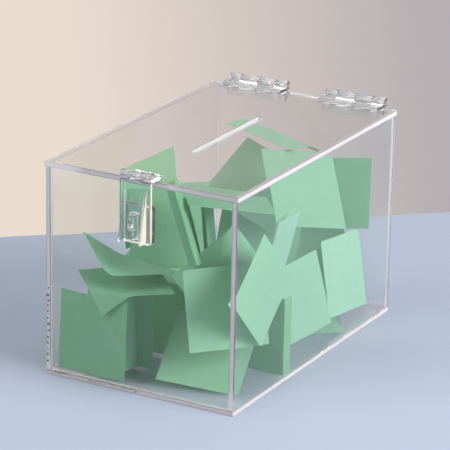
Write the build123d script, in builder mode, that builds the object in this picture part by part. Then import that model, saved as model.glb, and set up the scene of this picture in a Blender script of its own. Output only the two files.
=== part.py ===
from build123d import *
from math import cos, radians, sin, sqrt
import os

# A clear ballot box: cemented sheet walls, a slotted hinged lid, a hasp, and loose paper ballots inside.
# Frame: origin on the table under the middle of the box, +X to the right along the front,
# the front wall faces -Y, +Z up. All lengths are millimetres.

# Driving dimensions of the box
box_width = 200.0
box_depth = 318.0
lid_top = 209.0
sheet = 5.0
cement_film = 0.05
lid_seat = 0.2
lid_overhang = 1.2
edge_ease = 0.4

# Posting slot in the lid
slot_width = 6.0
slot_length = 132.0
slot_back_shift = 2.0

# Moulded rear hinges
hinge_length = 65.0
hinge_spacing = 108.0
hinge_reach = 21.0
leaf_thickness = 3.0
leaf_corner = 3.0
knuckle_radius = 4.0
knuckle_standoff = 4.5
knuckle_gap = 0.4
pin_radius = 1.6
pin_running_clearance = 0.05
leaf_swing_clearance = 0.8
rear_knuckle_shares = (0.2, 0.3, 0.3, 0.2)

# Hasp at the front
hasp_width = 32.0
hasp_lid_reach = 18.0
hasp_pin_out = 4.5
hasp_knuckle_shares = (0.26, 0.44, 0.30)
strap_thickness = 3.0
strap_length = 63.0
strap_corner = 2.0
strap_slot_width = 12.0
strap_slot_height = 25.0
strap_slot_drop = 34.5
rib_thickness = 2.0
rib_depth = 10.0
rib_spread = 22.0
rib_top_drop = 9.0

# Staple on the front wall
staple_plate_height = 36.0
staple_plate_thickness = 5.0
staple_plate_drop = 27.5
staple_plate_corner = 2.0
loop_thickness = 5.0
loop_reach = 13.0
loop_height = 22.5
loop_drop = 35.5
loop_corner = 5.0
padlock_hole_radius = 3.5
padlock_hole_reach = 8.0

# Paper ballots
ballot_size = 76.0
paper = 0.3
ballot_gap = 0.35

# Sizes that follow
base_top = sheet
wall_foot = base_top + cement_film
wall_head = lid_top - sheet - lid_seat
wall_height = wall_head - wall_foot
lid_underside = lid_top - sheet
front_face = -box_depth / 2
back_face = box_depth / 2
cross_width = box_width - 2 * sheet - 2 * cement_film
inner_width = box_width - 2 * sheet
inner_depth = box_depth - 2 * sheet
inner_height = lid_underside - base_top

os.makedirs("parts", exist_ok=True)


def save(piece, name):
    """Label a finished piece and write its file."""
    piece.label = name
    export_step(piece, f"parts/{name}.step")


# Base panel, under all four walls

with BuildPart() as base_panel:
    with BuildSketch():
        Rectangle(box_width, box_depth)
    extrude(amount=sheet)
    chamfer(base_panel.edges().filter_by(Axis.Z), length=edge_ease)

save(base_panel.part, "base_panel")

# Side walls run the full depth of the base

for side, name in ((-1, "left_wall"), (1, "right_wall")):
    with BuildPart() as side_wall:
        with BuildSketch(Plane.XY.offset(wall_foot)):
            with Locations((side * (box_width - sheet) / 2, 0)):
                Rectangle(sheet, box_depth)
        extrude(amount=wall_height)
        outer_edges = side_wall.edges().filter_by(Axis.Z).sort_by(Axis.X)
        chamfer(outer_edges[2:] if side > 0 else outer_edges[:2], length=edge_ease)
    save(side_wall.part, name)

# Front and back walls stand between the side walls

for side, name in ((-1, "front_wall"), (1, "back_wall")):
    with BuildPart() as cross_wall:
        with BuildSketch(Plane.XY.offset(wall_foot)):
            with Locations((0, side * (box_depth - sheet) / 2)):
                Rectangle(cross_width, sheet)
        extrude(amount=wall_height)
    save(cross_wall.part, name)

# Lid panel, flush at the back and proud at the front and sides, with the posting slot

lid_width = box_width + 2 * lid_overhang
lid_depth = box_depth + lid_overhang
lid_front = front_face - lid_overhang

with BuildPart() as lid_panel:
    with BuildSketch(Plane.XY.offset(lid_underside)):
        with Locations((0, (back_face + lid_front) / 2)):
            Rectangle(lid_width, lid_depth)
        with Locations((0, slot_back_shift)):
            Rectangle(slot_width, slot_length, mode=Mode.SUBTRACT)
    extrude(amount=sheet)
    rim = lid_panel.edges().filter_by(Axis.Z).filter_by(lambda edge: abs(edge.center().X) > box_width / 2)
    chamfer(rim, length=edge_ease)

save(lid_panel.part, "lid_panel")


def knuckle_spans(shares, length):
    """Start and end of each knuckle along a hinge of this length, measured from its middle."""
    spans = []
    start = -length / 2
    for share in shares:
        end = start + share * length
        spans.append((start + knuckle_gap / 2, end - knuckle_gap / 2))
        start = end
    spans[0] = (-length / 2, spans[0][1])
    spans[-1] = (spans[-1][0], length / 2)
    return spans


# Rear hinges: two leaves and a pin each, the pin axis just behind the top back edge

rear_pin_y = back_face + knuckle_standoff
rear_pin_z = lid_top + knuckle_standoff
leaf_sink = knuckle_standoff - cement_film
rear_spans = knuckle_spans(rear_knuckle_shares, hinge_length)


def hinge_leaf(plane, length, reach, spans, corner):
    """A moulded leaf: plane's X runs along the pin, its Y into the leaf, its -Z to the seat."""
    with BuildPart() as leaf:
        seat = plane.offset(-leaf_sink)
        with BuildSketch(seat):
            near = knuckle_radius + leaf_swing_clearance
            with Locations((0, (near + reach) / 2)):
                plate = Rectangle(length, reach - near)
            fillet(plate.vertices().group_by(Axis.Y)[-1], radius=corner)
            for start, end in spans:
                with Locations(((start + end) / 2, near / 2)):
                    Rectangle(end - start, near)
        extrude(amount=leaf_thickness)
        across = Plane(origin=plane.origin, x_dir=plane.y_dir, z_dir=plane.x_dir)
        for start, end in spans:
            with BuildSketch(across.offset(start)):
                Circle(knuckle_radius)
            extrude(amount=end - start)
        with BuildSketch(across.offset(-length)):
            Circle(pin_radius + pin_running_clearance)
        extrude(amount=2 * length, mode=Mode.SUBTRACT)
    return leaf.part


def hinge_pin(plane, length):
    """A plain pin with eased ends, centred on the plane along its X."""
    with BuildPart() as pin:
        across = Plane(origin=plane.origin, x_dir=plane.y_dir, z_dir=plane.x_dir)
        with BuildSketch(across.offset(-length / 2)):
            Circle(pin_radius)
        extrude(amount=length)
        chamfer(pin.edges().filter_by(GeomType.CIRCLE), length=edge_ease)
    return pin.part


for side, name in ((-1, "left"), (1, "right")):
    axis_middle = (side * hinge_spacing / 2, rear_pin_y, rear_pin_z)
    on_lid = Plane(origin=axis_middle, x_dir=(-1, 0, 0), z_dir=(0, 0, 1))
    on_wall = Plane(origin=axis_middle, x_dir=(1, 0, 0), z_dir=(0, 1, 0))
    lid_spans = [(-end, -start) for start, end in rear_spans[0::2]]
    lid_leaf = hinge_leaf(on_lid, hinge_length, hinge_reach, lid_spans, leaf_corner)
    save(lid_leaf, f"{name}_hinge_lid_leaf")
    wall_leaf = hinge_leaf(on_wall, hinge_length, hinge_reach, rear_spans[1::2], leaf_corner)
    save(wall_leaf, f"{name}_hinge_wall_leaf")
    save(hinge_pin(on_lid, hinge_length), f"{name}_hinge_pin")


# Hasp: a leaf on the lid's front edge, a pin, and a slotted strap that hangs over the staple

hasp_pin_y = front_face - hasp_pin_out
hasp_pin_z = lid_top + knuckle_standoff
hasp_spans = knuckle_spans(hasp_knuckle_shares, hasp_width)
hasp_axis = (0, hasp_pin_y, hasp_pin_z)
hasp_on_lid = Plane(origin=hasp_axis, x_dir=(1, 0, 0), z_dir=(0, 0, 1))

save(hinge_leaf(hasp_on_lid, hasp_width, hasp_lid_reach, hasp_spans[0::2], leaf_corner), "hasp_lid_leaf")
save(hinge_pin(hasp_on_lid, hasp_width), "hasp_pin")

# The strap's plane looks at the box from the front: its X runs along the pin, its Y up

strap_back_y = hasp_pin_y - knuckle_radius + strap_thickness
strap_face = Plane(origin=(0, strap_back_y, hasp_pin_z), x_dir=(1, 0, 0), z_dir=(0, -1, 0))
strap_top_drop = knuckle_radius + leaf_swing_clearance
strap_foot_z = hasp_pin_z - strap_length
strap_front_y = strap_back_y - strap_thickness

with BuildPart() as hasp_strap:
    with BuildSketch(strap_face):
        with Locations((0, -(strap_top_drop + strap_length) / 2)):
            plate = Rectangle(hasp_width, strap_length - strap_top_drop)
        fillet(plate.vertices().group_by(Axis.Y)[0], radius=strap_corner)
        knuckle_start, knuckle_end = hasp_spans[1]
        with Locations(((knuckle_start + knuckle_end) / 2, -strap_top_drop / 2)):
            Rectangle(knuckle_end - knuckle_start, strap_top_drop)
        with Locations((0, -strap_slot_drop - strap_slot_height / 2)):
            RectangleRounded(strap_slot_width, strap_slot_height, strap_corner, mode=Mode.SUBTRACT)
    extrude(amount=strap_thickness)
    along_pin = Plane(origin=hasp_axis, x_dir=(0, 1, 0), z_dir=(1, 0, 0))
    with BuildSketch(along_pin.offset(knuckle_start)):
        Circle(knuckle_radius)
    extrude(amount=knuckle_end - knuckle_start)
    with BuildSketch(along_pin.offset(-hasp_width)):
        Circle(pin_radius + pin_running_clearance)
    extrude(amount=2 * hasp_width, mode=Mode.SUBTRACT)
    for rib_middle in (-rib_spread / 2, rib_spread / 2):
        rib_side = Plane(origin=(rib_middle, strap_front_y, hasp_pin_z), x_dir=(0, -1, 0), z_dir=(-1, 0, 0))
        with BuildSketch(rib_side):
            with BuildLine():
                Polyline(
                    (0, -rib_top_drop),
                    (rib_depth, strap_corner - strap_length),
                    (0, strap_corner - strap_length),
                    close=True,
                )
            make_face()
        extrude(amount=rib_thickness / 2, both=True)

save(hasp_strap.part, "hasp_strap")

# Staple: a base plate cemented to the front wall and a loop that stands out through the strap's slot

staple_face = Plane(origin=(0, front_face - cement_film, hasp_pin_z), x_dir=(1, 0, 0), z_dir=(0, -1, 0))
loop_side = Plane(
    origin=(0, front_face - cement_film - staple_plate_thickness, hasp_pin_z),
    x_dir=(0, -1, 0),
    z_dir=(-1, 0, 0),
)

with BuildPart() as hasp_staple:
    with BuildSketch(staple_face):
        with Locations((0, -staple_plate_drop - staple_plate_height / 2)):
            RectangleRounded(hasp_width, staple_plate_height, staple_plate_corner)
    extrude(amount=staple_plate_thickness)
    with BuildSketch(loop_side):
        with Locations((loop_reach / 2, -loop_drop - loop_height / 2)):
            loop_outline = Rectangle(loop_reach, loop_height)
        fillet(loop_outline.vertices().group_by(Axis.X)[-1], radius=loop_corner)
        with Locations((padlock_hole_reach, -loop_drop - loop_height / 2)):
            Circle(padlock_hole_radius, mode=Mode.SUBTRACT)
    extrude(amount=loop_thickness / 2, both=True)

save(hasp_staple.part, "hasp_staple")


# Ballots: square paper sheets, flat, curled or folded once, heaped inside the box


def bend_point(distance, turn, radius):
    """Where a point of the sheet lies, in the plane across the bend, this far from the bend's middle."""
    half = radians(turn) / 2
    bent = max(-radius * half, min(radius * half, distance))
    angle = bent / radius
    straight = distance - bent
    return (
        radius * sin(angle) + straight * cos(angle),
        radius * (cos(angle) - 1) - abs(straight) * sin(abs(angle)),
    )


def bent_sheet(heading, lean, spin, bend):
    """A sheet whose face looks along heading and lean, turned by spin, with one bend across it."""
    turn, radius_share, shift_share, cornerwise = bend
    radius = radius_share * ballot_size
    shift = shift_share * ballot_size
    face = Vector(1, 0, 0).rotate(Axis.Y, -lean).rotate(Axis.Z, heading)
    level = Vector(0, 1, 0).rotate(Axis.Z, heading)
    rise = face.cross(level)
    across = level * cos(radians(spin)) + rise * sin(radians(spin))
    section = Plane(origin=(0, 0, 0), x_dir=across, z_dir=across.cross(face))
    facing = Plane(origin=(0, 0, 0), x_dir=across, z_dir=face)
    reach = ballot_size / sqrt(2) if cornerwise else ballot_size / 2
    arc_reach = radius * radians(turn) / 2
    with BuildPart() as leaf:
        with BuildSketch(section):
            with BuildLine():
                start = bend_point(-reach - shift, turn, radius)
                end = bend_point(reach - shift, turn, radius)
                if turn:
                    arc_start = bend_point(-arc_reach, turn, radius)
                    arc_end = bend_point(arc_reach, turn, radius)
                    Line(start, arc_start)
                    ThreePointArc(arc_start, (0, 0), arc_end)
                    Line(arc_end, end)
                else:
                    Line(start, end)
                offset(amount=paper, side=Side.LEFT)
            make_face()
        extrude(amount=reach, both=True)
        if cornerwise:
            middle_x = bend_point(-shift, turn, radius)[0]
            with BuildSketch(facing):
                with BuildLine():
                    Polyline((start[0], 0), (middle_x, reach), (end[0], 0), (middle_x, -reach), close=True)
                make_face()
            extrude(amount=ballot_size, both=True, mode=Mode.INTERSECT)
    return leaf.part


def set_inside(piece, x_share, y_share, z_share):
    """Move a sheet so that each share says where it lies between the two walls, or the floor and lid."""
    span = piece.bounding_box()
    gap = Vector(ballot_gap, ballot_gap, ballot_gap)
    room = Vector(inner_width, inner_depth, inner_height) - span.size - gap * 2
    low = Vector(-inner_width / 2, -inner_depth / 2, base_top) + span.size / 2 + gap
    place = low + Vector(room.X * x_share, room.Y * y_share, room.Z * z_share)
    return piece.moved(Location(place - span.center()))


def lean_on(piece, other):
    """Move a sheet straight towards the ballot that it leans on, until only the gap is left."""
    distance, here, there = piece.distance_to_with_closest_points(other)
    return piece.moved(Location((there - here) * (1 - ballot_gap / max(distance, ballot_gap))))


# Ways a ballot is bent: the turn in degrees, then the bend's radius and its distance from the middle
# as shares of the ballot's size, and whether it runs from corner to corner
flat_shares = (0, 1, 0, False)
bowed_shares = (10, 2.4, 0, False)
arched_shares = (20, 1.2, 0, False)
well_arched_shares = (25, 1.2, 0, False)
creased_shares = (90, 0.013, 0.33, False)
half_folded_shares = (120, 0.013, 0, False)
folded_shares = (165, 0.013, 0, False)
bent_across_shares = (50, 0.26, 0, True)
curled_shares = (40, 0.53, -0.1, True)
dog_eared_shares = (70, 0.08, -0.4, True)

# Each ballot, from the front left to the back: its place between the walls, its heading, lean and spin,
# its bend, and the number of the earlier ballot that it leans on, or 0 where a wall or the floor holds it
ballot_shares = (
    ((0, 0, 0), -95, 6, 2, bowed_shares, 0),
    ((0.17, 0.02, 0), 61, -2, -8, half_folded_shares, 0),
    ((0.04, 0.152, 0), -93, 4, 0, flat_shares, 0),
    ((0.02, 0, 0.356), -90, 55, 88, dog_eared_shares, 0),
    ((0.053, 0, 0.525), 224, -67, -60, curled_shares, 0),
    ((0, 0.33, 0.378), -73, 86, -6, flat_shares, 0),
    ((0.142, 0.383, 0.62), -55, 10, 1, arched_shares, 6),
    ((0.073, 0.418, 0.783), -12, 3, 5, flat_shares, 7),
    ((1, 0.022, 0.338), -37, 17, -1, arched_shares, 0),
    ((0.964, 0.152, 0.477), -59, 13, -6, bent_across_shares, 9),
    ((0.558, 0.19, 0.735), -62, 18, 15, folded_shares, 10),
    ((0.637, 0.25, 0.7), -64, 18, 6, folded_shares, 11),
    ((0.935, 0.194, 0.855), 78, 80, 46, flat_shares, 12),
    ((0.659, 0.067, 0.95), -58, 20, 17, folded_shares, 10),
    ((1, 0.31, 0.665), -86, -2, -15, folded_shares, 0),
    ((0.88, 0.06, 0), -72, 51, -7, flat_shares, 0),
    ((1, 0, 0.48), -2, 1, -48, flat_shares, 0),
    ((1, 0.32, 0), -44, 0, 0, creased_shares, 0),
    ((1, 0.49, 0.077), -19, 8, 10, flat_shares, 0),
    ((0.97, 0.88, 0), -50, 90, -1, flat_shares, 0),
    ((0.864, 1, 0.644), -58, -5, 0, flat_shares, 0),
    ((0.915, 0.992, 0.034), -1, 12, -6, flat_shares, 21),
    ((0.446, 0.807, 0.739), -57, 51, 53, flat_shares, 21),
    ((0.523, 0.741, 0.344), -59, 11, -9, flat_shares, 23),
    ((1, 0.74, 0.85), -26, 40, -13, flat_shares, 0),
    ((0.51, 0.926, 0.966), 58, 69, -60, well_arched_shares, 21),
    ((0.65, 1, 0.026), -62, 11, -1, flat_shares, 0),
    ((0.41, 0.3, 0), -84, 22, 0, flat_shares, 0),
)

ballots = []
for number, (place_shares, heading, lean, spin, bend, support) in enumerate(ballot_shares, start=1):
    ballot = set_inside(bent_sheet(heading, lean, spin, bend), *place_shares)
    if support:
        ballot = lean_on(ballot, ballots[support - 1])
    ballots.append(ballot)
    save(ballot, f"ballot_{number:02}")
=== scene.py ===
import math
import random

import bmesh
import bpy
from mathutils import Matrix, Vector, noise


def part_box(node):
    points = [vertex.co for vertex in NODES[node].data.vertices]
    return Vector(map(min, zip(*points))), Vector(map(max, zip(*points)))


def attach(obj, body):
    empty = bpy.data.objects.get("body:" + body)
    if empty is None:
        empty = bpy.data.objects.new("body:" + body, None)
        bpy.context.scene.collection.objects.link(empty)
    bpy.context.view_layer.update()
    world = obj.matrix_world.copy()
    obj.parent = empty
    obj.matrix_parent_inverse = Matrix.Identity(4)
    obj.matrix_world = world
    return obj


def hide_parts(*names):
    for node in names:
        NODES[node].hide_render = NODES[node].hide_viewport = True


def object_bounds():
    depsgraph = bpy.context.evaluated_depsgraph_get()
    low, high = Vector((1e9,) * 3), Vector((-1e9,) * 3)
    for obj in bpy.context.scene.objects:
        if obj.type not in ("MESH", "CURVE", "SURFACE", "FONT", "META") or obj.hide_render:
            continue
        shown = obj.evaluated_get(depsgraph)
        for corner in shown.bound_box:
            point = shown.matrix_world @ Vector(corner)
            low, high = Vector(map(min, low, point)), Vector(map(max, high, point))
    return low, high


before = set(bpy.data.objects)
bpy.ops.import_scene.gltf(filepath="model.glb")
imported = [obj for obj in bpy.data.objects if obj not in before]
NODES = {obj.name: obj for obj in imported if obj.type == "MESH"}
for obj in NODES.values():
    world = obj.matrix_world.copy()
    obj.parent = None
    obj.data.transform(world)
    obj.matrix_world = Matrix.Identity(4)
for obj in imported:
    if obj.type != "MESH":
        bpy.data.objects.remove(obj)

bl_info = {
    "name": "Clear Ballot Box",
    "version": (1, 0, 0),
    "blender": (4, 5, 0),
    "location": "3D View > Sidebar > Ballot Box",
    "description": "Finishes a clear acrylic ballot box, its hinges and hasp, and the ballots inside it",
    "category": "Object",
}

# The frame's own box, before anything is added
CAD_LOW, CAD_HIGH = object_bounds()
MM = 0.001

# Pieces by what they are made of, with the axis that a flat panel is thin along
PANELS = {
    "base_panel": (0, 0, 1),
    "lid_panel": (0, 0, 1),
    "left_wall": (1, 0, 0),
    "right_wall": (1, 0, 0),
    "front_wall": (0, 1, 0),
    "back_wall": (0, 1, 0),
}
REAR_HINGES = [f"{side}_hinge_{part}" for side in ("left", "right") for part in ("lid_leaf", "wall_leaf")]
HASP_PIECES = ["hasp_lid_leaf", "hasp_strap", "hasp_staple"]
PINS = ["left_hinge_pin", "right_hinge_pin", "hasp_pin"]
BALLOTS = sorted(name for name in NODES if name.startswith("ballot_"))
BALLOT_SIDE = 76 * MM

# Points nearer than this are one, and edges that turn less than this lie flat
WELD_DISTANCE = 0.001 * MM
FLAT_ANGLE = math.radians(0.5)

# Edges sharper than these are eased on plastic, and stay sharp on paper
EASED_ANGLE = math.radians(35)
FOLD_ANGLE = math.radians(40)


# Colours


def linear(hex_colour, alpha=1.0):
    """The linear colour of an sRGB hex value such as A9DEC6."""
    channels = [int(hex_colour[i:i + 2], 16) / 255 for i in (0, 2, 4)]
    curve = [c / 12.92 if c <= 0.04045 else ((c + 0.055) / 1.055) ** 2.4 for c in channels]
    return (*curve, alpha)


CLEAR_SHEET_HEX = "FCFBFB"
SAWN_EDGE_HEX = "E4DCE0"
MOULDED_HEX = "F4F6F7"
# Peach painted highlight on the strap's right flank, which faces the key lamp
FLANK_HIGHLIGHT_HEX = "F7E4D6"
PAPER_HEX = "B3E3CC"
PAPER_DEEP_HEX = "92D49B"
PAPER_GLOW_HEX = "76D053"
FLOOR_HEX = "A8B1C5"
BACKGROUND_HEX = "EADCCF"
BACKGROUND_FAR_HEX = "B6B0B3"
# Bead colours are painted reflections: mauve grey and pinkish brown are painted dark and dull reflections on
# the front, white and golden brown are painted glints along the right
BEAD_DARK_REFLECTION_HEX = "5A4F5C"
BEAD_DULL_REFLECTION_HEX = "94807F"
BEAD_GLINT_HEX = "FAF6EE"
BEAD_GOLD_GLINT_HEX = "C7A983"


# Sizes and colours that a user may change


class ClearSheetSettings(bpy.types.PropertyGroup):
    """The clear cast sheet of the walls, base and lid"""

    tint: bpy.props.FloatVectorProperty(
        name="Tint", description="Colour that the clear sheet gives to what is seen through it",
        subtype="COLOR", size=4, min=0, max=1, default=linear(CLEAR_SHEET_HEX),
    )
    edge_tint: bpy.props.FloatVectorProperty(
        name="Edge Tint", description="Colour of the sawn edges of the sheet",
        subtype="COLOR", size=4, min=0, max=1, default=linear(SAWN_EDGE_HEX),
    )
    edge_round: bpy.props.FloatProperty(
        name="Edge Round", description="How far the sharp edges of the sheet are eased",
        unit="LENGTH", default=0.25 * MM, min=0.0, max=2 * MM,
    )
    edge_roughness: bpy.props.FloatProperty(
        name="Edge Roughness", description="Roughness left on the sawn edges by scraping",
        default=0.28, min=0.0, max=1.0,
    )
    edge_haze: bpy.props.FloatProperty(
        name="Edge Haze", description="Share of the light that the middle of a sawn edge scatters",
        default=0.7, min=0.0, max=1.0,
    )


class SeamSettings(bpy.types.PropertyGroup):
    """The bubbles and dried beads of cement along the seams"""

    bead: bpy.props.FloatProperty(
        name="Bead", description="Diameter of a large bead, as on the front left seam",
        unit="LENGTH", default=2.6 * MM, min=0.2 * MM, max=4 * MM,
    )
    spacing: bpy.props.FloatProperty(
        name="Spacing", description="Distance from one large bead to the next",
        unit="LENGTH", default=6.0 * MM, min=1 * MM, max=50 * MM,
    )
    # Painted dark and dull reflections of the beads on the front
    dark_reflection: bpy.props.FloatVectorProperty(
        name="Dark", description="Mauve grey of the beads on the front left seam",
        subtype="COLOR", size=4, min=0, max=1, default=linear(BEAD_DARK_REFLECTION_HEX),
    )
    dull_reflection: bpy.props.FloatVectorProperty(
        name="Dull", description="Pinkish brown of the beads along the front of the base",
        subtype="COLOR", size=4, min=0, max=1, default=linear(BEAD_DULL_REFLECTION_HEX),
    )
    # Painted glints of the beads along the right, which faces the key lamp
    bright_glint: bpy.props.FloatVectorProperty(
        name="Bright", description="White of the beads along the right of the base",
        subtype="COLOR", size=4, min=0, max=1, default=linear(BEAD_GLINT_HEX),
    )
    gold_glint: bpy.props.FloatVectorProperty(
        name="Gold", description="Golden brown between the bright beads",
        subtype="COLOR", size=4, min=0, max=1, default=linear(BEAD_GOLD_GLINT_HEX),
    )


class MouldedSettings(bpy.types.PropertyGroup):
    """The moulded clear hinges and hasp"""

    tint: bpy.props.FloatVectorProperty(
        name="Tint", description="Colour of the moulded clear plastic",
        subtype="COLOR", size=4, min=0, max=1, default=linear(MOULDED_HEX),
    )
    # A painted highlight on the strap's right flank: a peach tint, and a haze that lets the tint show
    flank_highlight_tint: bpy.props.FloatVectorProperty(
        name="Flank Tint", description="Colour of the strap's hazy right flank",
        subtype="COLOR", size=4, min=0, max=1, default=linear(FLANK_HIGHLIGHT_HEX),
    )
    flank_highlight_haze: bpy.props.FloatProperty(
        name="Flank Haze", description="Share of the light that the strap's right flank scatters",
        default=0.6, min=0.0, max=1.0,
    )
    edge_round: bpy.props.FloatProperty(
        name="Edge Round", description="Radius left on moulded edges",
        unit="LENGTH", default=0.35 * MM, min=0.0, max=2 * MM,
    )
    ripple: bpy.props.FloatProperty(
        name="Ripple Spacing", description="Distance between the low ripples of a moulded face",
        unit="LENGTH", default=6 * MM, min=1 * MM, max=50 * MM,
    )


class PaperSettings(bpy.types.PropertyGroup):
    """The paper ballots"""

    colour: bpy.props.FloatVectorProperty(
        name="Colour", description="Colour of the paper's face",
        subtype="COLOR", size=4, min=0, max=1, default=linear(PAPER_HEX),
    )
    deep_colour: bpy.props.FloatVectorProperty(
        name="Deep Colour", description="Colour of the paper's denser clouds of fibre",
        subtype="COLOR", size=4, min=0, max=1, default=linear(PAPER_DEEP_HEX),
    )
    glow: bpy.props.FloatVectorProperty(
        name="Glow", description="Colour of the light that comes through the paper",
        subtype="COLOR", size=4, min=0, max=1, default=linear(PAPER_GLOW_HEX),
    )
    show_through: bpy.props.FloatProperty(
        name="Show-through", description="Share of the light that passes through to the sheet's other side",
        default=0.5, min=0.0, max=0.6,
    )
    cockle: bpy.props.FloatProperty(
        name="Cockle", description="Height of the slow waves in each sheet",
        unit="LENGTH", default=0.7 * MM, min=0.0, max=3 * MM,
    )
    mesh_size: bpy.props.FloatProperty(
        name="Mesh Size", description="Longest edge of a sheet's mesh",
        unit="LENGTH", default=5 * MM, min=1 * MM, max=40 * MM,
    )


class StageSettings(bpy.types.PropertyGroup):
    """Floor, background, lamps and camera"""

    floor_colour: bpy.props.FloatVectorProperty(
        name="Floor", description="Colour of the plain floor",
        subtype="COLOR", size=4, min=0, max=1, default=linear(FLOOR_HEX),
    )
    background_colour: bpy.props.FloatVectorProperty(
        name="Background", description="Colour behind the floor, where light falls on it",
        subtype="COLOR", size=4, min=0, max=1, default=linear(BACKGROUND_HEX),
    )
    background_far_colour: bpy.props.FloatVectorProperty(
        name="Background Shade", description="Colour behind the floor, away from the light",
        subtype="COLOR", size=4, min=0, max=1, default=linear(BACKGROUND_FAR_HEX),
    )
    key_power: bpy.props.FloatProperty(
        name="Key Lamp", description="Power of the large soft lamp on the right",
        unit="POWER", default=43.0, min=0.0,
    )
    fill_power: bpy.props.FloatProperty(
        name="Fill Lamp", description="Power of the soft lamp at the front left",
        unit="POWER", default=29.0, min=0.0,
    )
    top_power: bpy.props.FloatProperty(
        name="Top Lamp", description="Power of the soft lamp overhead",
        unit="POWER", default=9.0, min=0.0,
    )
    sky: bpy.props.FloatProperty(
        name="Sky", description="Strength of the even light from all round",
        default=0.25, min=0.0,
    )


# Building blocks


def add_node(tree, kind, inputs=None, **settings):
    """Add a shader node. Each input is given a value, or linked from another node's output."""
    made = tree.nodes.new(kind)
    for name, value in settings.items():
        setattr(made, name, value)
    for name, value in (inputs or {}).items():
        if isinstance(value, bpy.types.NodeSocket):
            tree.links.new(value, made.inputs[name])
        else:
            made.inputs[name].default_value = value
    return made


def new_material(name):
    """An empty material and its node tree."""
    material = bpy.data.materials.new(name)
    material.use_nodes = True
    material.node_tree.nodes.clear()
    return material, material.node_tree


def let_light_through(tree, shader, share):
    """Clear plastic casts almost no shadow, so shadow rays pass it and keep this share of their light."""
    path = add_node(tree, "ShaderNodeLightPath")
    clear = add_node(tree, "ShaderNodeBsdfTransparent", {"Color": (share, share, share, 1)})
    direct = add_node(tree, "ShaderNodeMath",
                      {0: path.outputs["Is Shadow Ray"], 1: path.outputs["Is Diffuse Ray"]},
                      operation="MAXIMUM")
    mixed = add_node(tree, "ShaderNodeMixShader", {"Fac": direct.outputs[0], 1: shader, 2: clear.outputs[0]})
    add_node(tree, "ShaderNodeOutputMaterial", {"Surface": mixed.outputs[0]})


def dress(node_name, material):
    """Give a node its material."""
    piece = NODES[node_name]
    piece.data.materials.clear()
    piece.data.materials.append(material)
    return piece


def ease_edges(piece, width):
    """Round the sharp edges of a node with modifiers; its own mesh stays as it is."""
    weld = piece.modifiers.new("join_seams", "WELD")
    weld.merge_threshold = WELD_DISTANCE
    bevel = piece.modifiers.new("eased_edges", "BEVEL")
    bevel.width = width
    bevel.segments = 2
    bevel.limit_method = "ANGLE"
    bevel.angle_limit = EASED_ANGLE
    bevel.harden_normals = True


def smooth_faces(mesh):
    """Shade every face of a mesh as part of a curved surface."""
    for face in mesh.polygons:
        face.use_smooth = True


def span_along(piece, axis):
    """The middle of a piece along an axis and its half length there, in the piece's own coordinates."""
    places = [vertex.co.dot(Vector(axis)) for vertex in piece.data.vertices]
    return (min(places) + max(places)) / 2, (max(places) - min(places)) / 2


# Materials

# Cast acrylic, and the share of light that it lets through to what stands behind it
ACRYLIC_IOR = 1.49
SHEET_CLARITY = 0.93

# Where a face counts as a polished face or as a sawn edge, by how squarely it faces along the thin axis
POLISHED_FACING = 0.75
SAWN_FACING = 0.35

# Shares of the half thickness between which the haze of a sawn edge thins out, and the share that stays
HAZY_STRIP = (0.5, 0.95)
LEAST_HAZE = 0.4
SAW_MARKS = 1.2 * MM

# Moulded acrylic. The leaves are so small that a full mirror would hide their forms, so they bend
# and mirror light less than the sheet does
HINGE_IOR = 1.34
HASP_IOR = 1.4
HINGE_ROUGHNESS = 0.05
HASP_ROUGHNESS = 0.06
MOULDED_TRANSMISSION = 0.97
MOULDED_CLARITY = 0.85
RIPPLE_DEPTH = 0.2 * MM

# Shares of the strap's half width at which the painted highlight on its right flank starts and is whole
STRAP_HIGHLIGHT = (0.3, 0.7)

# Width of the patches of painted light and dark reflection in a bead of dried cement
BEAD_REFLECTION_PATCH = 2.5 * MM

# Paper. Real clouds of fibre are 2 to 3 mm across, and are drawn coarser so that they show
FIBRE_CLOUD = 9 * MM
FIBRE_LENGTH = 1.5 * MM
FIBRE_RELIEF = 0.03 * MM
PULP_DENSITY = (0.7, 1.3)
PAPER_ROUGHNESS = 0.82
PAPER_IOR = 1.4


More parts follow.
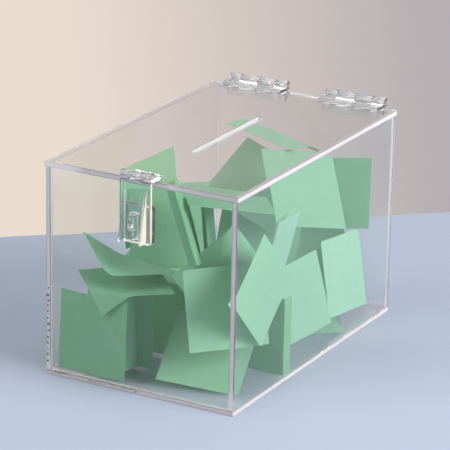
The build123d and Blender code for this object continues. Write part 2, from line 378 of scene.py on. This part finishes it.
def cast_acrylic(name, thin_axis, span, sheet):
    """Cast acrylic sheet: optically clear, polished faces, and sawn edges that are scraped but not clear.

    Seen face on it only shifts and slightly dims what is behind it. Its edges are hazy and pale along
    their middle, and clear again towards the polished faces.
    """
    material, tree = new_material(name)
    middle, half = span
    geometry = add_node(tree, "ShaderNodeNewGeometry")
    across = add_node(tree, "ShaderNodeVectorMath", {0: geometry.outputs["True Normal"], 1: thin_axis},
                      operation="DOT_PRODUCT")
    facing = add_node(tree, "ShaderNodeMath", {0: across.outputs["Value"]}, operation="ABSOLUTE")
    edge = add_node(tree, "ShaderNodeMapRange",
                    {"Value": facing.outputs[0], "From Min": POLISHED_FACING, "From Max": SAWN_FACING})
    # Scraping takes the saw marks off the two corners of an edge first
    place = add_node(tree, "ShaderNodeTexCoord")
    depth = add_node(tree, "ShaderNodeVectorMath", {0: place.outputs["Object"], 1: thin_axis},
                     operation="DOT_PRODUCT")
    from_middle = add_node(tree, "ShaderNodeMath", {0: depth.outputs["Value"], 1: middle},
                           operation="SUBTRACT")
    distance = add_node(tree, "ShaderNodeMath", {0: from_middle.outputs[0]}, operation="ABSOLUTE")
    strip = add_node(tree, "ShaderNodeMapRange",
                     {"Value": distance.outputs[0], "From Min": HAZY_STRIP[0] * half,
                      "From Max": HAZY_STRIP[1] * half, "To Min": 1.0, "To Max": LEAST_HAZE})
    hazy = add_node(tree, "ShaderNodeMath", {0: strip.outputs["Result"], 1: edge.outputs["Result"]},
                    operation="MULTIPLY")
    # What is left of the saw marks makes the haze uneven
    marks = add_node(tree, "ShaderNodeTexNoise",
                     {"Vector": place.outputs["Object"], "Scale": 1 / SAW_MARKS, "Detail": 3.0})
    haze = add_node(tree, "ShaderNodeMapRange",
                    {"Value": marks.outputs["Fac"], "From Min": 0.3, "From Max": 0.7,
                     "To Min": 0.4 * sheet.edge_roughness, "To Max": sheet.edge_roughness})
    roughness = add_node(tree, "ShaderNodeMath", {0: haze.outputs["Result"], 1: hazy.outputs[0]},
                         operation="MULTIPLY")
    tint = add_node(tree, "ShaderNodeMix", {"Factor": hazy.outputs[0], "A": sheet.tint, "B": sheet.edge_tint},
                    data_type="RGBA")
    clear = add_node(tree, "ShaderNodeMapRange",
                     {"Value": hazy.outputs[0], "To Min": 1.0, "To Max": 1 - sheet.edge_haze})
    shader = add_node(tree, "ShaderNodeBsdfPrincipled",
                      {"Base Color": tint.outputs["Result"], "Roughness": roughness.outputs[0],
                       "Transmission Weight": clear.outputs["Result"], "IOR": ACRYLIC_IOR})
    let_light_through(tree, shader.outputs[0], SHEET_CLARITY)
    return material


def moulded_acrylic(name, settings, roughness, ior, flank=None):
    """Injection-moulded acrylic: clear, with low ripples and a slight haze from the mould's surface.

    A flank, given by where it starts and ends along X, is where a highlight is painted: its faces that
    face +X, towards the key lamp, take a peach tint and a haze that lets the tint show.
    """
    material, tree = new_material(name)
    place = add_node(tree, "ShaderNodeTexCoord")
    ripple = add_node(tree, "ShaderNodeTexNoise",
                      {"Vector": place.outputs["Object"], "Scale": 1 / settings.ripple, "Detail": 2.0})
    bump = add_node(tree, "ShaderNodeBump",
                    {"Height": ripple.outputs["Fac"], "Strength": 0.3, "Distance": RIPPLE_DEPTH})
    haze = add_node(tree, "ShaderNodeMapRange",
                    {"Value": ripple.outputs["Fac"], "From Min": 0.35, "From Max": 0.75,
                     "To Min": 0.3 * roughness, "To Max": roughness})
    finish = {"Base Color": settings.tint, "Transmission Weight": MOULDED_TRANSMISSION}
    # Painted highlight: faces on the strap's right flank that face +X take a peach tint and let less light
    # through
    if flank:
        geometry = add_node(tree, "ShaderNodeNewGeometry")
        sideways = add_node(tree, "ShaderNodeSeparateXYZ", {0: geometry.outputs["True Normal"]})
        facing = add_node(tree, "ShaderNodeMapRange",
                          {"Value": sideways.outputs["X"], "From Min": 0.6, "From Max": 0.9})
        along = add_node(tree, "ShaderNodeSeparateXYZ", {0: place.outputs["Object"]})
        outer = add_node(tree, "ShaderNodeMapRange",
                         {"Value": along.outputs["X"], "From Min": flank[0], "From Max": flank[1]})
        hazy = add_node(tree, "ShaderNodeMath", {0: facing.outputs["Result"], 1: outer.outputs["Result"]},
                        operation="MULTIPLY")
        tint = add_node(tree, "ShaderNodeMix",
                        {"Factor": hazy.outputs[0], "A": settings.tint, "B": settings.flank_highlight_tint},
                        data_type="RGBA")
        clear = add_node(tree, "ShaderNodeMapRange",
                         {"Value": hazy.outputs[0], "To Min": MOULDED_TRANSMISSION,
                          "To Max": 1 - settings.flank_highlight_haze})
        finish = {"Base Color": tint.outputs["Result"], "Transmission Weight": clear.outputs["Result"]}
    shader = add_node(tree, "ShaderNodeBsdfPrincipled",
                      {**finish, "Roughness": haze.outputs["Result"], "IOR": ior,
                       "Normal": bump.outputs["Normal"]})
    let_light_through(tree, shader.outputs[0], MOULDED_CLARITY)
    return material


def dried_cement(name, colour, second_reflection):
    """Solvent cement that dried in beads with air inside: glossy, and it mirrors light or dark unevenly."""
    material, tree = new_material(name)
    # The two colours are painted reflections, light and dark, mixed in uneven patches
    place = add_node(tree, "ShaderNodeTexCoord")
    patches = add_node(tree, "ShaderNodeTexNoise",
                       {"Vector": place.outputs["Object"], "Scale": 1 / BEAD_REFLECTION_PATCH, "Detail": 1.0})
    amount = add_node(tree, "ShaderNodeMapRange",
                      {"Value": patches.outputs["Fac"], "From Min": 0.45, "From Max": 0.55})
    mixed = add_node(tree, "ShaderNodeMix",
                     {"Factor": amount.outputs["Result"], "A": colour, "B": second_reflection}, data_type="RGBA")
    shader = add_node(tree, "ShaderNodeBsdfPrincipled",
                      {"Base Color": mixed.outputs["Result"], "Roughness": 0.2, "IOR": ACRYLIC_IOR})
    add_node(tree, "ShaderNodeOutputMaterial", {"Surface": shader.outputs[0]})
    return material


def memo_paper(name, settings, seed):
    """Uncoated memo paper, dyed pale green in the pulp: matt, faintly cloudy, and light comes through it."""
    material, tree = new_material(name)
    # Sheets differ in how dense their pulp is, so some glow yellow green and some stay mint
    density = random.Random(seed).uniform(*PULP_DENSITY)
    place = add_node(tree, "ShaderNodeTexCoord")
    shifted = add_node(tree, "ShaderNodeMapping",
                       {"Vector": place.outputs["Object"], "Location": (seed, 0, 0)})
    clouds = add_node(tree, "ShaderNodeTexNoise",
                      {"Vector": shifted.outputs[0], "Scale": 1 / FIBRE_CLOUD, "Detail": 4.0,
                       "Roughness": 0.6})
    amount = add_node(tree, "ShaderNodeMapRange",
                      {"Value": clouds.outputs["Fac"], "From Min": 0.35, "From Max": 0.75,
                       "To Min": 0.0, "To Max": 0.35 / density})
    colour = add_node(tree, "ShaderNodeMix",
                      {"Factor": amount.outputs["Result"], "A": settings.colour, "B": settings.deep_colour},
                      data_type="RGBA")
    fibres = add_node(tree, "ShaderNodeTexNoise",
                      {"Vector": shifted.outputs[0], "Scale": 1 / FIBRE_LENGTH, "Detail": 3.0})
    bump = add_node(tree, "ShaderNodeBump",
                    {"Height": fibres.outputs["Fac"], "Strength": 0.08, "Distance": FIBRE_RELIEF})
    shader = add_node(tree, "ShaderNodeBsdfPrincipled",
                      {"Base Color": colour.outputs["Result"], "Roughness": PAPER_ROUGHNESS,
                       "IOR": PAPER_IOR, "Normal": bump.outputs["Normal"]})
    # A thin sheet passes some light to its other side, greener than what it reflects
    glow = add_node(tree, "ShaderNodeBsdfTranslucent",
                    {"Color": settings.glow, "Normal": bump.outputs["Normal"]})
    sheet = add_node(tree, "ShaderNodeMixShader",
                     {"Fac": settings.show_through / density, 1: shader.outputs[0], 2: glow.outputs[0]})
    add_node(tree, "ShaderNodeOutputMaterial", {"Surface": sheet.outputs[0]})
    return material


# Paper sheets

# Edges up to this long can be a straight side of a sheet; its diagonals are longer
LONGEST_SIDE = 1.02 * BALLOT_SIDE

# Length of the slow waves in a handled sheet
COCKLE_LENGTH = 0.55 * BALLOT_SIDE


def sheet_axes(mesh):
    """A sheet's middle, and the two directions of its longest straight edge and across it."""
    middle = sum((vertex.co for vertex in mesh.vertices), Vector((0, 0, 0))) / len(mesh.vertices)
    broad = max(mesh.polygons, key=lambda face: face.area).normal.copy()
    sides = [mesh.vertices[b].co - mesh.vertices[a].co for a, b in mesh.edge_keys]
    rims = [side for side in sides if side.length < LONGEST_SIDE]
    along = max(rims, key=lambda side: side.length).normalized()
    across = broad.cross(along).normalized()
    return middle, along, across


def fine_copy(source, name, step, axes):
    """A copy of a node's mesh, welded and sliced both ways into a grid of this step."""
    middle, along, across = axes
    grid = bmesh.new()
    grid.from_mesh(source.data)
    bmesh.ops.remove_doubles(grid, verts=grid.verts, dist=WELD_DISTANCE)
    bmesh.ops.dissolve_limit(grid, angle_limit=FLAT_ANGLE, verts=grid.verts, edges=grid.edges)
    # Three quarters of a side reaches past the corners of the square
    cuts = int(0.75 * BALLOT_SIDE / step)
    for direction in (along, across):
        for number in range(-cuts, cuts + 1):
            everything = [*grid.verts, *grid.edges, *grid.faces]
            bmesh.ops.bisect_plane(grid, geom=everything, dist=WELD_DISTANCE, plane_no=direction,
                                   plane_co=middle + direction * step * number)
    bmesh.ops.triangulate(grid, faces=[face for face in grid.faces if len(face.verts) > 4])
    mesh = bpy.data.meshes.new(name)
    grid.to_mesh(mesh)
    grid.free()
    return mesh


def cockle_sheet(mesh, height, seed, axes):
    """Give a sheet the slow uneven waves of handled paper, the same on both of its faces."""
    middle, along, across = axes
    normal = along.cross(across)
    shift = Vector((seed, 2 * seed, 3 * seed))
    for vertex in mesh.vertices:
        away = vertex.co - middle
        flat = away - normal * away.dot(normal)
        slow = noise.noise(flat / COCKLE_LENGTH + shift)
        vertex.co = vertex.co + normal * height * slow


# Seams where beads show

# A small bead, as along the foot of the box, next to a large one
SMALL_BEAD = 0.6

# How unevenly beads are spaced, sized and stretched, as shares
BEAD_PLACE = (0.3, 0.7)
BEAD_SIZE = (0.6, 1.15)
BEAD_STRETCH = (0.7, 1.2)


def seam_stretches(seams):
    """Name, lowest and highest corner, bead size, spacing and two colours of each stretch of seam.

    The corners are those of the box that the beads' middles lie in, on the face of a sheet. They are
    given as shares of the sheet's thickness, and of the wall's height or depth.
    """
    left_low, left_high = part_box("left_wall")
    right_low, right_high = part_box("right_wall")
    sheet = left_high[0] - left_low[0]
    proud = 0.06 * sheet
    tall = left_high[2] - left_low[2]
    deep = right_high[1] - right_low[1]
    # Each stretch's last two colours are painted reflections of its beads
    return (
        ("left_front", (left_low[0] + 0.35 * sheet, left_low[1] - proud, left_low[2] + 0.03 * tall),
         (left_low[0] + 0.6 * sheet, left_low[1] - proud, left_low[2] + 0.43 * tall),
         seams.bead, seams.spacing, seams.dark_reflection, seams.dull_reflection),
        ("front_foot", (left_low[0], left_low[1] - proud, left_low[2] - 0.45 * sheet),
         (0, left_low[1] - proud, left_low[2] - 0.1 * sheet),
         SMALL_BEAD * seams.bead, 0.4 * seams.spacing, seams.dull_reflection, seams.dark_reflection),
        ("right_foot", (right_high[0], right_low[1] + 0.53 * deep, right_low[2] - 0.3 * sheet),
         (right_high[0], right_high[1] - 0.3 * sheet, right_low[2]),
         SMALL_BEAD * seams.bead, 0.45 * seams.spacing, seams.bright_glint, seams.gold_glint),
    )


def bead_row(name, low, high, diameter, spacing, seed):
    """A mesh of small uneven beads scattered along the longest side of a thin box."""
    chance = random.Random(seed)
    low, high = Vector(low), Vector(high)
    size = high - low
    run = max(range(3), key=lambda axis: size[axis])
    drops = bmesh.new()
    for number in range(int(size[run] / spacing)):
        place = Vector(low[axis] + size[axis] * chance.random() for axis in range(3))
        place[run] = low[run] + spacing * (number + chance.uniform(*BEAD_PLACE))
        radius = diameter / 2 * chance.uniform(*BEAD_SIZE)
        stretch = Matrix.Diagonal((*(chance.uniform(*BEAD_STRETCH) for _ in range(3)), 1))
        bmesh.ops.create_icosphere(drops, subdivisions=2, radius=radius,
                                   matrix=Matrix.Translation(place) @ stretch)
    mesh = bpy.data.meshes.new(name)
    drops.to_mesh(mesh)
    drops.free()
    return mesh


# Operators, one for each group of pieces


class BALLOTBOX_OT_panels(bpy.types.Operator):
    """Finish the base, walls and lid as clear cast sheet"""

    bl_idname = "ballotbox.panels"
    bl_label = "Clear Panels"

    def execute(self, context):
        sheet = context.scene.ballotbox_sheet
        for name, thin_axis in PANELS.items():
            span = span_along(NODES[name], thin_axis)
            material = cast_acrylic(f"cast_acrylic_{name}", thin_axis, span, sheet)
            ease_edges(dress(name, material), sheet.edge_round)
        return {"FINISHED"}


class BALLOTBOX_OT_seams(bpy.types.Operator):
    """Add the small beads and bubbles of the cemented seams"""

    bl_idname = "ballotbox.seams"
    bl_label = "Seam Beads"

    def execute(self, context):
        stretches = seam_stretches(context.scene.ballotbox_seams)
        for seed, (name, low, high, bead, spacing, colour, second_reflection) in enumerate(stretches, start=1):
            mesh = bead_row(f"beads_{name}", low, high, bead, spacing, seed)
            mesh.materials.append(dried_cement(f"dried_cement_{name}", colour, second_reflection))
            smooth_faces(mesh)
            piece = bpy.data.objects.new(f"beads_{name}", mesh)
            context.scene.collection.objects.link(piece)
            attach(piece, "box")
        return {"FINISHED"}


class BALLOTBOX_OT_hinges(bpy.types.Operator):
    """Finish the two rear hinges and every pin"""

    bl_idname = "ballotbox.hinges"
    bl_label = "Hinges and Pins"

    def execute(self, context):
        moulded = context.scene.ballotbox_moulded
        leaf = moulded_acrylic("moulded_acrylic_hinge", moulded, HINGE_ROUGHNESS, HINGE_IOR)
        for name in REAR_HINGES:
            ease_edges(dress(name, leaf), moulded.edge_round)
        rod = moulded_acrylic("clear_rod", moulded, HINGE_ROUGHNESS, HINGE_IOR)
        # A rod's cut ends are eased half as much as a leaf's moulded edges
        for name in PINS:
            ease_edges(dress(name, rod), 0.5 * moulded.edge_round)
        return {"FINISHED"}


class BALLOTBOX_OT_hasp(bpy.types.Operator):
    """Finish the hasp's leaf, strap and staple"""

    bl_idname = "ballotbox.hasp"
    bl_label = "Hasp"

    def execute(self, context):
        moulded = context.scene.ballotbox_moulded
        middle, half = span_along(NODES["hasp_strap"], (1, 0, 0))
        flank = [middle + share * half for share in STRAP_HIGHLIGHT]
        clear = moulded_acrylic("moulded_acrylic_hasp", moulded, HASP_ROUGHNESS, HASP_IOR)
        strap = moulded_acrylic("moulded_acrylic_strap", moulded, HASP_ROUGHNESS, HASP_IOR, flank)
        for name in HASP_PIECES:
            material = strap if name == "hasp_strap" else clear
            ease_edges(dress(name, material), moulded.edge_round)
        return {"FINISHED"}


class BALLOTBOX_OT_ballots(bpy.types.Operator):
    """Make each ballot a finely curved sheet of paper"""

    bl_idname = "ballotbox.ballots"
    bl_label = "Paper Ballots"

    def execute(self, context):
        paper = context.scene.ballotbox_paper
        for number, name in enumerate(BALLOTS, start=1):
            axes = sheet_axes(NODES[name].data)
            mesh = fine_copy(NODES[name], f"paper_{name}", paper.mesh_size, axes)
            cockle_sheet(mesh, paper.cockle, number, axes)
            piece = bpy.data.objects.new(f"paper_{name}", mesh)
            context.scene.collection.objects.link(piece)
            mesh.materials.append(memo_paper(f"memo_paper_{number:02}", paper, number))
            smooth_faces(mesh)
            mesh.set_sharp_from_angle(angle=FOLD_ANGLE)
            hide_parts(name)
            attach(piece, "box")
        return {"FINISHED"}


# Stage

# Two points of the table's far edge, and how far the table runs on each way, in metres
TABLE_EDGE = (Vector((-0.349, 0.138, 0)), Vector((0.023, 0.472, 0)))
TABLE_REACH = 6.0

# The table lies this far below the base, so that their two faces don't share a place
TABLE_DROP = 0.05 * MM
TABLE_ROUGHNESS = 0.7

# Direction in which the wall behind grows darker, and how far along it the fade starts and ends
WALL_DIRECTION = (0.87, 0.48, 0.1)
WALL_FADE = (-0.085, 0.045)

# Each lamp's name, the setting that holds its power, its side and place in metres, and the cone in
# degrees that holds its light. The key lamp's cone keeps it from bleaching the table beneath it
LAMPS = (
    ("key_lamp", "key_power", 1.5, (2.5, 0.1, 1.3), 110),
    ("fill_lamp", "fill_power", 1.4, (-1.2, -1.6, 1.2), 180),
    ("top_lamp", "top_power", 1.2, (0.1, 0.2, 1.9), 180),
)

# Photograph's viewpoint, in metres and degrees
CAMERA_PLACE = (1.21228, -2.19862, 0.98707)
CAMERA_AZIMUTH = 28.868
CAMERA_ELEVATION = 19.079
CAMERA_ROLL = 1.128

# Lens and sensor width in millimetres
CAMERA_LENS = 222.99
CAMERA_SENSOR = 36.0


def aim_camera(scene):
    """Set the camera where the photograph was taken from."""
    data = bpy.data.cameras.new("photo_camera")
    data.sensor_width = CAMERA_SENSOR
    data.lens = CAMERA_LENS
    data.clip_end = 50.0
    camera = bpy.data.objects.new("photo_camera", data)
    scene.collection.objects.link(camera)
    azimuth, elevation, roll = (math.radians(a) for a in (CAMERA_AZIMUTH, CAMERA_ELEVATION, CAMERA_ROLL))
    back = Vector((
        math.sin(azimuth) * math.cos(elevation),
        -math.cos(azimuth) * math.cos(elevation),
        math.sin(elevation),
    ))
    level = Vector((0, 0, 1)).cross(back).normalized()
    upright = back.cross(level)
    right = level * math.cos(roll) + upright * math.sin(roll)
    up = upright * math.cos(roll) - level * math.sin(roll)
    turn = Matrix((right, up, back)).transposed().to_4x4()
    camera.matrix_world = Matrix.Translation(CAMERA_PLACE) @ turn
    scene.camera = camera


def add_lamp(scene, name, power, side, place, cone, target):
    """A large square lamp at a place, turned towards a target, with its light inside a cone."""
    data = bpy.data.lights.new(name, "AREA")
    data.shape = "SQUARE"
    data.size = side
    data.energy = power
    data.spread = math.radians(cone)
    lamp = bpy.data.objects.new(name, data)
    scene.collection.objects.link(lamp)
    lamp.location = place
    lamp.rotation_mode = "QUATERNION"
    lamp.rotation_quaternion = (target - Vector(place)).to_track_quat("-Z", "Y")


def lay_floor(scene, colour):
    """A plain matt table top that ends at its far edge, behind the box."""
    material, tree = new_material("plain_matt_floor")
    shader = add_node(tree, "ShaderNodeBsdfPrincipled", {"Base Color": colour, "Roughness": TABLE_ROUGHNESS})
    add_node(tree, "ShaderNodeOutputMaterial", {"Surface": shader.outputs[0]})
    mesh = bpy.data.meshes.new("floor")
    along = (TABLE_EDGE[1] - TABLE_EDGE[0]).normalized()
    forward = Vector((along.y, -along.x, 0))
    far_left = TABLE_EDGE[0] - along * TABLE_REACH
    far_right = TABLE_EDGE[1] + along * TABLE_REACH
    near = forward * TABLE_REACH
    mesh.from_pydata([far_left + near, far_right + near, far_right, far_left], [], [(0, 1, 2, 3)])
    mesh.materials.append(material)
    floor = bpy.data.objects.new("floor", mesh)
    floor.location.z = -TABLE_DROP
    scene.collection.objects.link(floor)


def hang_background(scene, stage):
    """Even light from all round, and a plain wall wherever the background itself is seen."""
    world = bpy.data.worlds.new("plain_background")
    world.use_nodes = True
    scene.world = world
    tree = world.node_tree
    tree.nodes.clear()
    path = add_node(tree, "ShaderNodeLightPath")
    direct = add_node(tree, "ShaderNodeMath",
                      {0: path.outputs["Is Camera Ray"], 1: path.outputs["Is Glossy Ray"]},
                      operation="MAXIMUM")
    seen = add_node(tree, "ShaderNodeMath",
                    {0: direct.outputs[0], 1: path.outputs["Is Transmission Ray"]}, operation="MAXIMUM")
    light = add_node(tree, "ShaderNodeBackground", {"Color": (1, 1, 1, 1), "Strength": stage.sky})
    # The wall behind is lit from its left, so it fades along the room's own directions
    room = add_node(tree, "ShaderNodeTexCoord")
    along_wall = add_node(tree, "ShaderNodeVectorMath", {0: room.outputs["Generated"], 1: WALL_DIRECTION},
                          operation="DOT_PRODUCT")
    fade = add_node(tree, "ShaderNodeMapRange",
                    {"Value": along_wall.outputs["Value"], "From Min": WALL_FADE[0],
                     "From Max": WALL_FADE[1]})
    wall = add_node(tree, "ShaderNodeMix",
                    {"Factor": fade.outputs["Result"], "A": stage.background_colour,
                     "B": stage.background_far_colour}, data_type="RGBA")
    view = add_node(tree, "ShaderNodeBackground", {"Color": wall.outputs["Result"], "Strength": 1.0})
    mixed = add_node(tree, "ShaderNodeMixShader",
                     {"Fac": seen.outputs[0], 1: light.outputs[0], 2: view.outputs[0]})
    add_node(tree, "ShaderNodeOutputWorld", {"Surface": mixed.outputs[0]})


class BALLOTBOX_OT_stage(bpy.types.Operator):
    """Set up the plain floor, background, soft lamps and camera"""

    bl_idname = "ballotbox.stage"
    bl_label = "Floor, Lamps and Camera"

    def execute(self, context):
        scene = context.scene
        stage = scene.ballotbox_stage
        lay_floor(scene, stage.floor_colour)
        hang_background(scene, stage)
        middle = (CAD_LOW + CAD_HIGH) / 2
        for name, power, side, place, cone in LAMPS:
            add_lamp(scene, name, getattr(stage, power), side, place, cone, middle)
        aim_camera(scene)
        scene.view_settings.view_transform = "Standard"
        return {"FINISHED"}


class BALLOTBOX_PT_panel(bpy.types.Panel):
    """Lists the steps that finish the ballot box"""

    bl_idname = "BALLOTBOX_PT_panel"
    bl_label = "Ballot Box"
    bl_space_type = "VIEW_3D"
    bl_region_type = "UI"
    bl_category = "Ballot Box"

    def draw(self, context):
        layout = self.layout
        for settings, _ in SETTINGS:
            group = getattr(context.scene, settings)
            box = layout.box()
            for name in group.__annotations__:
                box.prop(group, name)
        for step in STEPS:
            layout.operator(step.bl_idname)


SETTINGS = (
    ("ballotbox_sheet", ClearSheetSettings),
    ("ballotbox_seams", SeamSettings),
    ("ballotbox_moulded", MouldedSettings),
    ("ballotbox_paper", PaperSettings),
    ("ballotbox_stage", StageSettings),
)
STEPS = (
    BALLOTBOX_OT_stage,
    BALLOTBOX_OT_panels,
    BALLOTBOX_OT_seams,
    BALLOTBOX_OT_hinges,
    BALLOTBOX_OT_hasp,
    BALLOTBOX_OT_ballots,
)


def register():
    for name, group in SETTINGS:
        bpy.utils.register_class(group)
        setattr(bpy.types.Scene, name, bpy.props.PointerProperty(type=group))
    for step in (*STEPS, BALLOTBOX_PT_panel):
        bpy.utils.register_class(step)


def unregister():
    for step in reversed((*STEPS, BALLOTBOX_PT_panel)):
        bpy.utils.unregister_class(step)
    for name, group in reversed(SETTINGS):
        delattr(bpy.types.Scene, name)
        bpy.utils.unregister_class(group)


def main():
    register()
    for step in STEPS:
        group, operator = step.bl_idname.split(".")
        getattr(getattr(bpy.ops, group), operator)()


if __name__ == "__main__":
    main()
